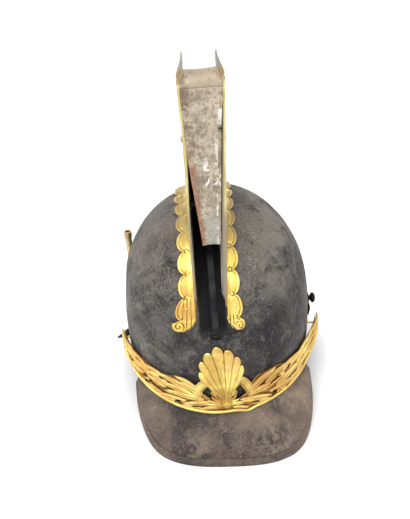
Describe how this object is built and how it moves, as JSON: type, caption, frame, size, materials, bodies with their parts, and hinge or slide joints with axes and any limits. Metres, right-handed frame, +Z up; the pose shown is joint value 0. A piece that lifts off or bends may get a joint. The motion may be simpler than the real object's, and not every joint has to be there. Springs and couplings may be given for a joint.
{
  "type": "cavalry helmet",
  "caption": "Leather cavalry helmet with visor, neck guard, tall two-sided metal comb, crest trough, scalloped flanges, wreath band with palmette, plume socket and lining.",
  "frame": {"origin": "on the ground under the middle of the skull, where the helmet stands on its two brims", "axes": "+Z up, the visor points along -Y, +X to the right of someone who looks at the helmet's front"},
  "size_m": [0.2242, 0.3109, 0.376],
  "materials": {
    "skull_leather": "matt blackened leather, cracked and dusty, greyer towards the crown",
    "brim_leather": "matt brown-black leather with dusty patches",
    "binding_leather": "narrow sewn binding, dark brown",
    "gilt_brass": "embossed brass, bright on the crests and brown in the hollows",
    "comb_brass": "dull brass with grey patina",
    "trough_steel": "pitted steel with rust specks and white scuffs",
    "black_iron": "blackened iron, satin",
    "strap_leather": "torn black leather",
    "lining_leather": "soft brown leather",
    "lining_cord": "twisted linen cord"
  },
  "bodies": {
    "helmet": {"skull": "skull_leather", "visor": "brim_leather", "neck_guard": "brim_leather", "visor_binding": "binding_leather", "neck_guard_binding": "binding_leather", "comb_side_left": "comb_brass", "comb_side_right": "comb_brass", "comb_flange_left": "gilt_brass", "comb_flange_right": "gilt_brass", "comb_flange_screws": "gilt_brass", "comb_flange_nuts": "black_iron", "comb_strap": "black_iron", "comb_cross_pins": "comb_brass", "comb_spacers": "black_iron", "crest_trough": "trough_steel", "wreath_band": "gilt_brass", "palmette": "gilt_brass", "rosette_rivet": "gilt_brass", "band_rivets": "gilt_brass", "band_rivet_washers": "comb_brass", "plume_socket": "comb_brass", "plume_bracket": "comb_brass", "plume_screws": "comb_brass", "plume_nuts": "black_iron", "chin_stud_right": "black_iron", "chin_stud_washer": "black_iron", "chin_stud_nut": "black_iron", "strap_tab_right": "strap_leather", "loop_staple_left": "black_iron", "sweatband": "lining_leather", "lining_tongues": "lining_leather", "draw_cord_ring": "lining_cord"},
    "strap_loop": {"strap_loop_left": "black_iron"}
  },
  "joints": [
    {"name": "loop_swing", "type": "hinge", "parent": "helmet", "child": "strap_loop", "pos_m": [-0.10259, 0.00839, 0.04367], "axis": [0, 1, 0], "range_deg": [-70, 95]}
  ]
}
